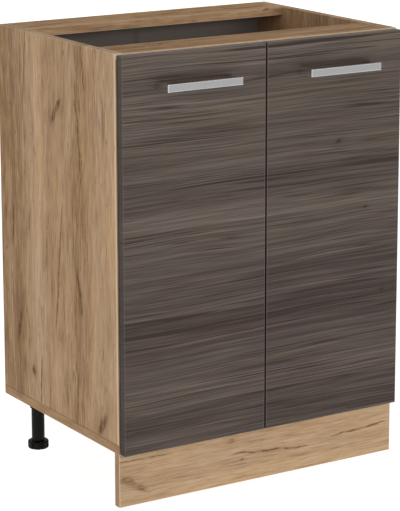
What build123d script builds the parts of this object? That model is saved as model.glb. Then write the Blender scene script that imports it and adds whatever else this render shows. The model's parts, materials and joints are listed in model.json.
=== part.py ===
"""Kitchen base cabinet: an oak-decor carcass with two dark doors on concealed cup hinges.

Millimetres. X runs across the front, Y from the front to the rear, Z up from the floor.
The origin is on the floor, in the middle of the overall width and depth.
"""

import os
from math import atan2, cos, degrees, radians, sin

from build123d import *

os.makedirs("parts", exist_ok=True)

LEFT, RIGHT = -1, 1
SIDE_NAMES = {LEFT: "left", RIGHT: "right"}

# Carcass
width = 600.0
carcass_height = 720.0
side_depth = 438.0
board = 16.0
back_thickness = 3.0
back_inset = 1.0
back_joint_width = 13.0
back_joint_lip = 1.0
back_joint_rear_lip = 0.5
back_joint_web = 1.2
edge_band = 0.8
band_joint = 0.05
rail_width = 86.0
rail_fixing_spacing = 420.0
rail_fixing_radius = 2.5

# Shelf
shelf_setback = 30.0
shelf_side_clearance = 1.0
shelf_rear_clearance = 8.0
shelf_height = 330.0
pin_radius = 2.45
pin_depth = 10.0
pin_reach = 9.0
pin_row_inset = 60.0
pin_pitch = 32.0
pin_holes_each_way = 2

# Doors
door_thickness = 16.0
door_gap = 2.0
door_side_reveal = 1.5
door_middle_gap = 3.0
door_top_reveal = 2.0
door_bottom_reveal = 1.0
door_band = 1.0
door_arris = 0.5
bumper_radius = 4.0
bumper_clearance = 0.2
bumper_inset = 22.0

# Handles
handle_length = 154.0
handle_height = 14.0
handle_projection = 36.0
handle_bar = 8.0
handle_leg = 10.0
handle_drop = 52.0
handle_corner = 1.2
handle_arris = 0.6
handle_screw_radius = 2.0
handle_screw_bite = 14.0
handle_screw_head_radius = 4.0
handle_screw_head = 2.2

# Concealed hinges: cup in the door, arm on the side panel, two links between them
hinge_end_distance = 96.0
cup_radius = 17.5
cup_depth = 12.2
cup_wall = 1.0
cup_edge_distance = 5.0
cup_flange = 1.0
cup_rim = 2.0
cup_ear_offset = 9.5
cup_ear_spacing = 48.0
cup_ear_width = 14.0
cup_screw_radius = 1.7
cup_screw_head_radius = 3.2
cup_screw_head = 0.8
cup_screw_length = 10.0
pivot_radius = 1.25
pivot_clearance = 0.06
link_radius = 2.2
link_plate = 2.0
link_gap = 0.3
link_web_radius = 1.2
inner_web_distance = 10.0
inner_web_offset = 2.0
outer_web_distance = 7.0
nose_radius = 3.0
nose_half_width = 4.0
lug_radius = 1.9
eye_travel = 2.2
eye_play = 1.2
eye_clearance = 0.25
eye_wall = 1.0
arm_start = 11.0
arm_length = 55.0
arm_half_width = 9.0
arm_height = 10.0
arm_standoff = 5.5
arm_wall = 1.5
plate_setback = 37.0
plate_screw_spacing = 32.0
plate_wing_length = 50.0
plate_wing_width = 14.0
plate_wing = 2.5
plate_rail_start = 20.0
plate_rail_length = 42.0
plate_rail_height = 11.0
plate_rail_clearance = 0.3
plate_screw_depth = 11.0
plate_screw_head_radius = 4.5
plate_screw_head = 2.0
adjust_screw_radius = 2.1
adjust_screw_head_radius = 3.4
adjust_screw_head = 1.8
adjust_screw_reach = 6.5
adjust_screw_setbacks = (26.0, 54.0)

# Hinge pivots, measured from the cup centre (across) and from the door's rear face (to the rear)
arm_pivot_inner = (12.0, 7.8)
arm_pivot_outer = (12.4, -6.0)
cup_pivot_inner = (-11.6, -3.1)
cup_pivot_outer = (-7.5, -3.8)
inner_link_knee = (-6.9, -8.0)
outer_link_knee = (-1.1, -7.5)

# Knock-down fittings
cam_radius = 7.5
cam_depth = 12.3
cam_distance = 34.0
cam_slot = 7.6
cam_driver_length = 9.0
cam_driver_width = 1.5
cam_driver_depth = 2.0
bolt_thread_radius = 2.45
bolt_thread_length = 10.5
bolt_shank_radius = 3.0
bolt_head_radius = 3.5
bolt_head = 3.0
bolt_bore_radius = 4.0
dowel_radius = 3.95
dowel_length = 30.0
dowel_in_side = 10.0
rail_cam_inset = 28.0
rail_dowel_inset = 60.0
bottom_cam_inset = 60.0
bottom_dowel_inset = 120.0
hole_clearance = 0.05
hole_tip = 0.5

# Nails of the back panels
nail_radius = 0.7
nail_length = 18.0
nail_head_radius = 1.6
nail_head = 0.6
nails_per_side = 5
nails_per_rail = 3

# Plinth
plinth_clearance = 0.5
plinth_thickness = 16.0

# Legs
leg_height = 100.0
front_leg_side_inset = 46.0
rear_leg_side_inset = 38.0
leg_front_inset = 48.0
leg_rear_inset = 60.0
leg_tube_radius = 12.5
leg_tube_wall = 2.0
leg_boss_height = 20.0
leg_plate = 60.0
leg_plate_corner = 6.0
leg_plate_thickness = 3.5
leg_collar_wall = 2.5
leg_collar_height = 19.0
leg_collar_roof = 2.0
leg_rib = 2.0
leg_rib_reach = 10.0
leg_screw_offset = 23.0
leg_screw_radius = 1.9
leg_screw_head_radius = 3.8
leg_screw_head = 2.0
leg_screw_depth = 12.0
foot_radius = 20.0
foot_height = 15.0
foot_round = 2.5
foot_lobes = 8
foot_notch_radius = 3.2
foot_notch_phase = 32.0
foot_stem_radius = 6.0
foot_stem_length = 45.0
foot_clearance = 0.3

# Plinth clips on the front legs
clip_height = 20.0
clip_wall = 2.5
clip_mouth = 100.0
clip_pad_width = 44.0
clip_pad_height = 34.0
clip_pad = 3.0
clip_web = 14.0
clip_fit = 0.1
clip_screw_offset = 15.0
clip_screw_radius = 1.6
clip_screw_head_radius = 3.2
clip_screw_head = 1.8
clip_screw_depth = 11.0

# Places worked out from the sizes above
overall_depth = handle_projection + door_thickness + door_gap + side_depth + back_thickness
front_y = handle_projection + door_thickness + door_gap - overall_depth / 2
rear_y = front_y + side_depth
half = width / 2
inner_half = half - board
inside_floor = leg_height + board
top_z = leg_height + carcass_height
rail_z = top_z - board
door_rear_y = front_y - door_gap
door_front_y = door_rear_y - door_thickness
door_bottom_z = leg_height + door_bottom_reveal
door_top_z = top_z - door_top_reveal
door_height = door_top_z - door_bottom_z
door_width = half - door_side_reveal - door_middle_gap / 2
door_middle = door_middle_gap / 2 + door_width / 2
handle_z = top_z - handle_drop - handle_height / 2
handle_face_y = door_front_y - handle_projection
handle_screw_spacing = handle_length - handle_leg
finger_gap = handle_projection - handle_bar
hinge_heights = (door_bottom_z + hinge_end_distance, door_top_z - hinge_end_distance)
cup_center = door_side_reveal + cup_edge_distance + cup_radius
shelf_z = leg_height + shelf_height
shelf_front_y = front_y + shelf_setback
shelf_rear_y = rear_y - shelf_rear_clearance
shelf_half = inner_half - shelf_side_clearance
pin_z = shelf_z - pin_radius - hole_clearance
shelf_pin_rows = (shelf_front_y + pin_row_inset, shelf_rear_y - pin_row_inset)
leg_spots = {
    "front_left": (-half + front_leg_side_inset, front_y + leg_front_inset),
    "front_right": (half - front_leg_side_inset, front_y + leg_front_inset),
    "rear_left": (-half + rear_leg_side_inset, rear_y - leg_rear_inset),
    "rear_right": (half - rear_leg_side_inset, rear_y - leg_rear_inset),
}
clip_level = leg_height / 2
front_legs = [spot for name, spot in leg_spots.items() if name.startswith("front")]

# Layers of a hinge, as distances above and below its middle plane
outer_layer = nose_half_width + link_gap
outer_top = outer_layer + link_plate
inner_layer = outer_top + link_gap
inner_top = inner_layer + link_plate
lug_layer = inner_top + link_gap
lug_top = lug_layer + link_plate


def save(piece, label):
    """Name a finished piece and write it."""
    piece.part.label = label
    export_step(piece.part, f"parts/{label}.step")


def box(low, high, mode=Mode.ADD):
    """A block between two opposite corners."""
    with Locations(tuple((a + b) / 2 for a, b in zip(low, high))):
        Box(*(b - a for a, b in zip(low, high)), mode=mode)


def turned(plane, *steps, mode=Mode.ADD):
    """A stepped round piece along a plane's normal: (radius, from, to) for each step."""
    for radius, start, stop in steps:
        with BuildSketch(plane.offset(start)) as outline:
            Circle(radius)
        extrude(outline.sketch, amount=stop - start, mode=mode)


def holes(plane, spots, radius, depth):
    """Blind round holes sunk into a plane at the given spots."""
    with BuildSketch(plane) as outline:
        with Locations(*spots):
            Circle(radius)
    extrude(outline.sketch, amount=-depth, mode=Mode.SUBTRACT)


def across(side, reach, y=0, z=0):
    """The plane parallel to a side panel, that far in from its outer face, facing inwards."""
    return Plane(origin=(side * (half - reach), y, z), x_dir=(0, -side, 0), z_dir=(-side, 0, 0))


def on_side(side, y, z):
    """A spot on an across plane."""
    return (-side * y, z)


def upright(x, y, z):
    """A horizontal plane at a point, facing up."""
    return Plane(origin=(x, y, z))


def facing_rear(x, y, z):
    """An upright plane at a point, facing the rear."""
    return Plane(origin=(x, y, z), x_dir=(-1, 0, 0), z_dir=(0, 1, 0))


def shifted(side, spot):
    """A hinge pivot as an X, Y point, from its distances to the cup centre and the door's rear face."""
    return Vector(side * (half - cup_center - spot[0]), door_rear_y + spot[1])


def bar(start, stop, radius):
    """A round-ended bar outline between two points of a sketch."""
    middle = (start + stop) / 2
    run = stop - start
    with Locations((middle.X, middle.Y)):
        SlotCenterToCenter(run.length, 2 * radius, rotation=degrees(atan2(run.Y, run.X)))


def pivots(side):
    """The four pivots of a hinge: arm inner, arm outer, cup inner, cup outer."""
    return [
        shifted(side, spot)
        for spot in (arm_pivot_inner, arm_pivot_outer, cup_pivot_inner, cup_pivot_outer)
    ]


# Where the fittings sit, shared by the boards and the fittings
rail_cam_y = (front_y + rail_cam_inset, rear_y - rail_cam_inset)
rail_dowel_y = (front_y + rail_dowel_inset, rear_y - rail_dowel_inset)
bottom_cam_y = (front_y + bottom_cam_inset, rear_y - bottom_cam_inset)
bottom_dowel_y = (front_y + bottom_dowel_inset, rear_y - bottom_dowel_inset)
rail_joint_z = rail_z + board / 2
side_middle = half - board / 2
bottom_cam_z = inside_floor + cam_distance
plate_screw_spots = [
    (front_y + plate_setback, level + step * plate_screw_spacing / 2)
    for level in hinge_heights
    for step in (-1, 1)
]
shelf_hole_levels = [
    pin_z + step * pin_pitch for step in range(-pin_holes_each_way, pin_holes_each_way + 1)
]
dowel_in_rail = dowel_length - dowel_in_side


# Side panels, drilled on their inner faces
for side in (LEFT, RIGHT):
    face = across(side, board)
    with BuildPart() as side_panel:
        box(
            (min(side * half, side * inner_half), front_y + edge_band, inside_floor),
            (max(side * half, side * inner_half), rear_y, top_z),
        )
        shelf_holes = [on_side(side, y, z) for y in shelf_pin_rows for z in shelf_hole_levels]
        holes(face, shelf_holes, pin_radius + hole_clearance, pin_depth + hole_tip)
        plate_holes = [on_side(side, y, z) for y, z in plate_screw_spots]
        holes(face, plate_holes, pin_radius + hole_clearance, plate_screw_depth + hole_tip)
        bolt_holes = [on_side(side, y, rail_joint_z) for y in rail_cam_y]
        holes(face, bolt_holes, bolt_thread_radius + hole_clearance, bolt_thread_length + hole_tip)
        dowel_holes = [on_side(side, y, rail_joint_z) for y in rail_dowel_y]
        holes(face, dowel_holes, dowel_radius + hole_clearance, dowel_in_side + hole_tip)
        cam_holes = [on_side(side, y, bottom_cam_z) for y in bottom_cam_y]
        holes(face, cam_holes, cam_radius + hole_clearance, cam_depth + hole_tip)
        foot_plane = Plane.XY.offset(inside_floor)
        with BuildSketch(foot_plane):
            with Locations(*[(side * side_middle, y) for y in bottom_cam_y]):
                Circle(bolt_bore_radius)
        extrude(amount=cam_distance, mode=Mode.SUBTRACT)
        with BuildSketch(foot_plane):
            with Locations(*[(side * side_middle, y) for y in bottom_dowel_y]):
                Circle(dowel_radius + hole_clearance)
        extrude(amount=dowel_in_rail + hole_tip, mode=Mode.SUBTRACT)
    save(side_panel, f"side_panel_{SIDE_NAMES[side]}")

# Bottom panel, under the sides, with its leg screw holes below and fittings above
with BuildPart() as bottom_panel:
    box(
        (-half + edge_band, front_y + edge_band, leg_height),
        (half - edge_band, rear_y, inside_floor),
    )
    top_face = Plane.XY.offset(inside_floor)
    bolt_spots = [(side * side_middle, y) for side in (LEFT, RIGHT) for y in bottom_cam_y]
    holes(top_face, bolt_spots, bolt_thread_radius + hole_clearance, bolt_thread_length + hole_tip)
    dowel_spots = [(side * side_middle, y) for side in (LEFT, RIGHT) for y in bottom_dowel_y]
    holes(top_face, dowel_spots, dowel_radius + hole_clearance, dowel_in_side + hole_tip)
    for spot in leg_spots.values():
        with BuildSketch(Plane.XY.offset(leg_height)):
            with Locations(spot):
                with GridLocations(2 * leg_screw_offset, 2 * leg_screw_offset, 2, 2):
                    Circle(leg_screw_radius + hole_clearance)
        extrude(amount=leg_screw_depth + hole_tip, mode=Mode.SUBTRACT)
save(bottom_panel, "bottom_panel")


def top_rail(label, low_y, high_y, cam_y, dowel_y):
    """A flat rail between the sides, with cam pockets below and worktop screw holes."""
    with BuildPart() as rail:
        box((-inner_half, low_y, rail_z), (inner_half, high_y, top_z))
        for side in (LEFT, RIGHT):
            end = across(side, board)
            bores = ((cam_y, bolt_bore_radius, cam_distance),)
            bores += ((dowel_y, dowel_radius + hole_clearance, dowel_in_rail + hole_tip),)
            for y, radius, depth in bores:
                with BuildSketch(end):
                    with Locations(on_side(side, y, rail_joint_z)):
                        Circle(radius)
                extrude(amount=depth, mode=Mode.SUBTRACT)
            turned(
                upright(side * (inner_half - cam_distance), cam_y, rail_z),
                (cam_radius + hole_clearance, 0, cam_depth + hole_tip),
                mode=Mode.SUBTRACT,
            )
        with BuildSketch(Plane.XY.offset(top_z)):
            with Locations((0, (low_y + high_y) / 2)):
                with GridLocations(rail_fixing_spacing, 0, 2, 1):
                    Circle(rail_fixing_radius)
        extrude(amount=-board, mode=Mode.SUBTRACT)
    save(rail, label)


front_rail_low = front_y + edge_band
top_rail("top_rail_front", front_rail_low, front_y + rail_width, rail_cam_y[0], rail_dowel_y[0])
top_rail("top_rail_rear", rear_y - rail_width, rear_y, rail_cam_y[1], rail_dowel_y[1])

# Edge banding of the carcass: front edges of all boards and both ends of the bottom panel
with BuildPart() as carcass_edging:
    band_y = front_y + edge_band
    for side in (LEFT, RIGHT):
        edges = sorted((side * half, side * (inner_half + band_joint)))
        box((edges[0], front_y, inside_floor + band_joint), (edges[1], band_y, top_z))
        ends = sorted((side * half, side * (half - edge_band)))
        box((ends[0], band_y + band_joint, leg_height), (ends[1], rear_y, inside_floor))
    box((-half, front_y, leg_height), (half, band_y, inside_floor))
    box((-inner_half, front_y, rail_z), (inner_half, band_y, top_z))
    box(
        (-shelf_half, shelf_front_y, shelf_z),
        (shelf_half, shelf_front_y + edge_band, shelf_z + board),
    )
save(carcass_edging, "carcass_edging")

# Back panels in two halves, let into an H-shaped joint strip
back_low = leg_height + back_inset
back_high = top_z - back_inset
for side in (LEFT, RIGHT):
    with BuildPart() as back_panel:
        reach = sorted((side * (half - back_inset), side * back_joint_web / 2))
        box((reach[0], rear_y, back_low), (reach[1], rear_y + back_thickness, back_high))
        trim = sorted((side * back_joint_width / 2, side * back_joint_web / 2))
        box(
            (trim[0], rear_y, back_low),
            (trim[1], rear_y + back_joint_lip, back_high),
            mode=Mode.SUBTRACT,
        )
        box(
            (trim[0], rear_y + back_thickness - back_joint_rear_lip, back_low),
            (trim[1], rear_y + back_thickness, back_high),
            mode=Mode.SUBTRACT,
        )
    save(back_panel, f"back_panel_{SIDE_NAMES[side]}")

with BuildPart() as back_joint:
    with BuildSketch(Plane.XY.offset(back_low)):
        with Locations((0, rear_y + back_joint_lip / 2)):
            Rectangle(back_joint_width, back_joint_lip)
        with Locations((0, rear_y + back_thickness / 2)):
            Rectangle(back_joint_web, back_thickness)
        with Locations((0, rear_y + back_thickness - back_joint_rear_lip / 2)):
            Rectangle(back_joint_width, back_joint_rear_lip)
    extrude(amount=back_high - back_low)
save(back_joint, "back_joint_strip")

# Nails that hold the back panels to the sides, the bottom and the rear rail
with BuildPart() as back_nails:
    nail_rise = (back_high - back_low) / nails_per_side
    nail_levels = [back_low + nail_rise / 2 + step * nail_rise for step in range(nails_per_side)]
    nail_spots = [(side * side_middle, level) for side in (LEFT, RIGHT) for level in nail_levels]
    nail_run = inner_half / nails_per_rail
    for side in (LEFT, RIGHT):
        for step in range(nails_per_rail):
            x = side * (nail_run / 2 + step * nail_run)
            nail_spots += [(x, leg_height + board / 2), (x, rail_joint_z)]
    for x, z in nail_spots:
        turned(
            facing_rear(x, rear_y + back_thickness, z),
            (nail_radius, -nail_length, 0),
            (nail_head_radius, -nail_head, 0),
        )
save(back_nails, "back_nails")

# Shelf, on four pins
with BuildPart() as shelf:
    box(
        (-shelf_half, shelf_front_y + edge_band, shelf_z),
        (shelf_half, shelf_rear_y, shelf_z + board),
    )
save(shelf, "shelf")

with BuildPart() as shelf_pins:
    for side in (LEFT, RIGHT):
        for y in shelf_pin_rows:
            turned(across(side, board, y, pin_z), (pin_radius, -pin_depth, pin_reach))
save(shelf_pins, "shelf_pins")


def cam(plane):
    """A cam lock sunk from a plane; its slot opens towards the bolt, along the plane's own X."""
    turned(plane, (cam_radius, -cam_depth, 0))
    slot_middle = plane.offset(-board / 2)
    with BuildSketch(slot_middle) as slot:
        with Locations((cam_radius / 2, 0)):
            Rectangle(cam_radius, cam_slot)
    extrude(slot.sketch, amount=cam_slot / 2, both=True, mode=Mode.SUBTRACT)
    with BuildSketch(plane) as driver:
        Rectangle(cam_driver_length, cam_driver_width)
        Rectangle(cam_driver_width, cam_driver_length)
    extrude(driver.sketch, amount=-cam_driver_depth, mode=Mode.SUBTRACT)


# Cam locks: in the rails from below, and in the sides from inside the cabinet
with BuildPart() as cams:
    for side in (LEFT, RIGHT):
        for y in rail_cam_y:
            below = Plane(
                origin=(side * (inner_half - cam_distance), y, rail_z),
                x_dir=(side, 0, 0),
                z_dir=(0, 0, -1),
            )
            cam(below)
        for y in bottom_cam_y:
            inside = Plane(
                origin=(side * inner_half, y, bottom_cam_z),
                x_dir=(0, 0, -1),
                z_dir=(-side, 0, 0),
            )
            cam(inside)
save(cams, "cam_locks")

# Cam bolts: thread in one board, head in the other board's cam
bolt_steps = (
    (bolt_thread_radius, -bolt_thread_length, 0),
    (bolt_shank_radius, 0, cam_distance - bolt_head),
    (bolt_head_radius, cam_distance - bolt_head, cam_distance - hole_tip),
)
with BuildPart() as cam_bolts:
    for side in (LEFT, RIGHT):
        for y in rail_cam_y:
            turned(across(side, board, y, rail_joint_z), *bolt_steps)
        for y in bottom_cam_y:
            turned(upright(side * side_middle, y, inside_floor), *bolt_steps)
save(cam_bolts, "cam_bolts")

with BuildPart() as dowels:
    dowel_step = (dowel_radius, -dowel_in_side, dowel_in_rail)
    for side in (LEFT, RIGHT):
        for y in rail_dowel_y:
            turned(across(side, board, y, rail_joint_z), dowel_step)
        for y in bottom_dowel_y:
            turned(upright(side * side_middle, y, inside_floor), dowel_step)
save(dowels, "dowels")

# Plinth board, under the front edge of the bottom panel
with BuildPart() as plinth:
    box(
        (-half, front_y, plinth_clearance),
        (half, front_y + plinth_thickness, leg_height - plinth_clearance),
    )
    for x, y in front_legs:
        clip_holes = [(-x + step * clip_screw_offset, clip_level) for step in (-1, 1)]
        holes(
            facing_rear(0, front_y + plinth_thickness, 0),
            clip_holes,
            clip_screw_radius + hole_clearance,
            clip_screw_depth + hole_tip,
        )
save(plinth, "plinth")

# Plinth clips: a pad on the plinth's rear face and a sprung ring round the leg
ring_inner = leg_tube_radius + clip_fit
ring_outer = ring_inner + clip_wall
mouth_width = 2 * ring_outer * sin(radians(clip_mouth / 2))
mouth_depth = 2 * ring_outer * (1 - cos(radians(clip_mouth / 2)))
pad_y = front_y + plinth_thickness
with BuildPart() as plinth_clips:
    for x, y in front_legs:
        low = clip_level - clip_height / 2
        with BuildSketch(Plane.XY.offset(low)):
            with Locations((x, y)):
                Circle(ring_outer)
            with Locations((x, (pad_y + y - ring_inner) / 2)):
                Rectangle(clip_web, y - ring_inner - pad_y)
            with Locations((x, y)):
                Circle(ring_inner, mode=Mode.SUBTRACT)
                with Locations((0, ring_outer)):
                    Rectangle(mouth_width, mouth_depth, mode=Mode.SUBTRACT)
        extrude(amount=clip_height)
        box(
            (x - clip_pad_width / 2, pad_y, clip_level - clip_pad_height / 2),
            (x + clip_pad_width / 2, pad_y + clip_pad, clip_level + clip_pad_height / 2),
        )
        for step in (-1, 1):
            turned(
                facing_rear(x + step * clip_screw_offset, pad_y, clip_level),
                (clip_screw_radius + hole_clearance, 0, clip_pad),
                mode=Mode.SUBTRACT,
            )
save(plinth_clips, "plinth_clips")

with BuildPart() as plinth_screws:
    for x, y in front_legs:
        for step in (-1, 1):
            turned(
                facing_rear(x + step * clip_screw_offset, pad_y + clip_pad, clip_level),
                (clip_screw_radius, -clip_pad - clip_screw_depth, 0),
                (clip_screw_head_radius, 0, clip_screw_head),
            )
save(plinth_screws, "plinth_clip_screws")

# Legs: socket screwed under the bottom panel, tube pushed into it, screw-in foot
collar_radius = leg_tube_radius + leg_collar_wall
socket_low = leg_height - leg_collar_height
tube_low = foot_height + foot_clearance
tube_high = leg_height - leg_collar_roof - hole_clearance
for name, (x, y) in leg_spots.items():
    with BuildPart() as leg_socket:
        with BuildSketch(Plane.XY.offset(leg_height)):
            with Locations((x, y)):
                RectangleRounded(leg_plate, leg_plate, leg_plate_corner)
        extrude(amount=-leg_plate_thickness)
        turned(upright(x, y, socket_low), (collar_radius, 0, leg_collar_height))
        for run in ((1, 0, 0), (0, 1, 0)):
            rib_plane = Plane(origin=(x, y, 0), x_dir=run, z_dir=(run[1], -run[0], 0))
            with BuildSketch(rib_plane):
                Polygon(
                    (-collar_radius - leg_rib_reach, leg_height - leg_plate_thickness),
                    (-collar_radius, socket_low + leg_rib),
                    (collar_radius, socket_low + leg_rib),
                    (collar_radius + leg_rib_reach, leg_height - leg_plate_thickness),
                    align=None,
                )
            extrude(amount=leg_rib / 2, both=True)
        turned(
            upright(x, y, socket_low),
            (leg_tube_radius + hole_clearance, 0, leg_collar_height - leg_collar_roof),
            mode=Mode.SUBTRACT,
        )
        with BuildSketch(Plane.XY.offset(leg_height)):
            with Locations((x, y)):
                with GridLocations(2 * leg_screw_offset, 2 * leg_screw_offset, 2, 2):
                    Circle(leg_screw_radius + hole_clearance)
        extrude(amount=-leg_plate_thickness, mode=Mode.SUBTRACT)
    save(leg_socket, f"leg_socket_{name}")

    with BuildPart() as leg_tube:
        turned(upright(x, y, 0), (leg_tube_radius, tube_low, tube_high))
        turned(
            upright(x, y, 0),
            (leg_tube_radius - leg_tube_wall, tube_low + leg_boss_height, tube_high),
            (foot_stem_radius + foot_clearance, tube_low, tube_low + leg_boss_height),
            mode=Mode.SUBTRACT,
        )
    save(leg_tube, f"leg_tube_{name}")

    with BuildPart() as foot:
        with BuildSketch(Plane(origin=(x, y, 0), x_dir=(1, 0, 0), z_dir=(0, -1, 0))) as profile:
            with Locations((foot_radius / 2, foot_height / 2)):
                Rectangle(foot_radius, foot_height)
            fillet(profile.vertices().group_by(Axis.X)[-1], foot_round)
        revolve(axis=Axis((x, y, 0), (0, 0, 1)))
        with BuildSketch(Plane.XY):
            with Locations((x, y)):
                with PolarLocations(foot_radius, foot_lobes, start_angle=foot_notch_phase):
                    Circle(foot_notch_radius)
        extrude(amount=foot_height, mode=Mode.SUBTRACT)
        turned(upright(x, y, foot_height), (foot_stem_radius, 0, foot_stem_length))
    save(foot, f"leg_foot_{name}")

with BuildPart() as leg_screws:
    for x, y in leg_spots.values():
        for step_x in (-1, 1):
            for step_y in (-1, 1):
                turned(
                    upright(
                        x + step_x * leg_screw_offset,
                        y + step_y * leg_screw_offset,
                        leg_height - leg_plate_thickness,
                    ),
                    (leg_screw_radius, 0, leg_plate_thickness + leg_screw_depth),
                    (leg_screw_head_radius, -leg_screw_head, 0),
                )
save(leg_screws, "leg_screws")


def door_edges(side):
    """The X limits of a door, from low to high."""
    return sorted((side * door_middle_gap / 2, side * (half - door_side_reveal)))


def cup_x(side):
    """How far across a door's hinge cups are."""
    return side * (half - cup_center)


def ear_x(side):
    """How far across the screws of the cups' ears are."""
    return side * (half - cup_center - cup_ear_offset)


def ear_spots(side, level):
    """The two screws of a cup's ears."""
    return [(ear_x(side), level + step * cup_ear_spacing / 2) for step in (-1, 1)]


# Doors with their edge bands, cup bores and handle holes
door_rear = Plane.XZ.offset(-door_rear_y)
door_front = Plane.XZ.offset(-door_front_y)
for side in (LEFT, RIGHT):
    low_x, high_x = door_edges(side)
    with BuildPart() as door:
        box(
            (low_x + door_band, door_front_y, door_bottom_z + door_band),
            (high_x - door_band, door_rear_y, door_top_z - door_band),
        )
        for level in hinge_heights:
            with BuildSketch(door_rear):
                with Locations((cup_x(side), level)):
                    Circle(cup_radius + hole_clearance)
            extrude(amount=cup_depth + hole_tip, mode=Mode.SUBTRACT)
            with BuildSketch(door_rear):
                with Locations(*ear_spots(side, level)):
                    Circle(cup_screw_radius + hole_clearance)
            extrude(amount=cup_screw_length + hole_tip, mode=Mode.SUBTRACT)
        with BuildSketch(door_rear):
            with Locations((side * door_middle, handle_z)):
                with GridLocations(handle_screw_spacing, 0, 2, 1):
                    Circle(handle_screw_radius + hole_clearance)
        extrude(amount=door_thickness, mode=Mode.SUBTRACT)
    save(door, f"door_{SIDE_NAMES[side]}")

    with BuildPart() as door_edging:
        with BuildSketch(door_rear):
            with Locations((side * door_middle, (door_bottom_z + door_top_z) / 2)):
                Rectangle(door_width, door_height)
                Rectangle(
                    door_width - 2 * door_band,
                    door_height - 2 * door_band,
                    mode=Mode.SUBTRACT,
                )
        extrude(amount=door_thickness)
        front_rim = door_edging.faces().sort_by(Axis.Y)[0].outer_wire().edges()
        chamfer(front_rim, door_arris)
    save(door_edging, f"door_edging_{SIDE_NAMES[side]}")

    with BuildPart() as bumpers:
        bumper_x = side * (door_middle_gap / 2 + bumper_inset)
        for level in (leg_height + board / 2, rail_joint_z):
            turned(
                facing_rear(bumper_x, door_rear_y, level),
                (bumper_radius, 0, door_gap - bumper_clearance),
            )
    save(bumpers, f"door_bumpers_{SIDE_NAMES[side]}")

# Handles: a flat bar on two square legs, screwed through the door
for side in (LEFT, RIGHT):
    middle = side * door_middle
    with BuildPart() as handle:
        with BuildSketch(Plane.XY.offset(handle_z - handle_height / 2)) as outline:
            with Locations((middle, door_front_y - handle_projection / 2)):
                Rectangle(handle_length, handle_projection)
            with Locations((middle, door_front_y - finger_gap / 2)):
                Rectangle(handle_length - 2 * handle_leg, finger_gap, mode=Mode.SUBTRACT)
            fillet(outline.vertices().group_by(Axis.Y)[0], handle_corner)
        extrude(amount=handle_height)
        level_edges = handle.edges().filter_by(Plane.XY)
        rims = [edge for edge in level_edges if edge.center().Y < handle_face_y + handle_corner]
        chamfer(rims, handle_arris)
        with BuildSketch(door_front):
            with Locations((middle, handle_z)):
                with GridLocations(handle_screw_spacing, 0, 2, 1):
                    Circle(handle_screw_radius + hole_clearance)
        extrude(amount=handle_screw_bite + hole_tip, mode=Mode.SUBTRACT)
    save(handle, f"handle_{SIDE_NAMES[side]}")

    with BuildPart() as handle_screws:
        for step in (-1, 1):
            turned(
                facing_rear(middle + step * handle_screw_spacing / 2, door_rear_y, handle_z),
                (handle_screw_radius, -door_thickness - handle_screw_bite, 0),
                (handle_screw_head_radius, 0, handle_screw_head),
            )
    save(handle_screws, f"handle_screws_{SIDE_NAMES[side]}")


def layer_plates(outline, level, start, stop):
    """Two plates of one outline, above and below a hinge's middle plane."""
    extrude(outline.moved(Location((0, 0, level + start))), amount=stop - start)
    extrude(outline.moved(Location((0, 0, level - stop))), amount=stop - start)


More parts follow.
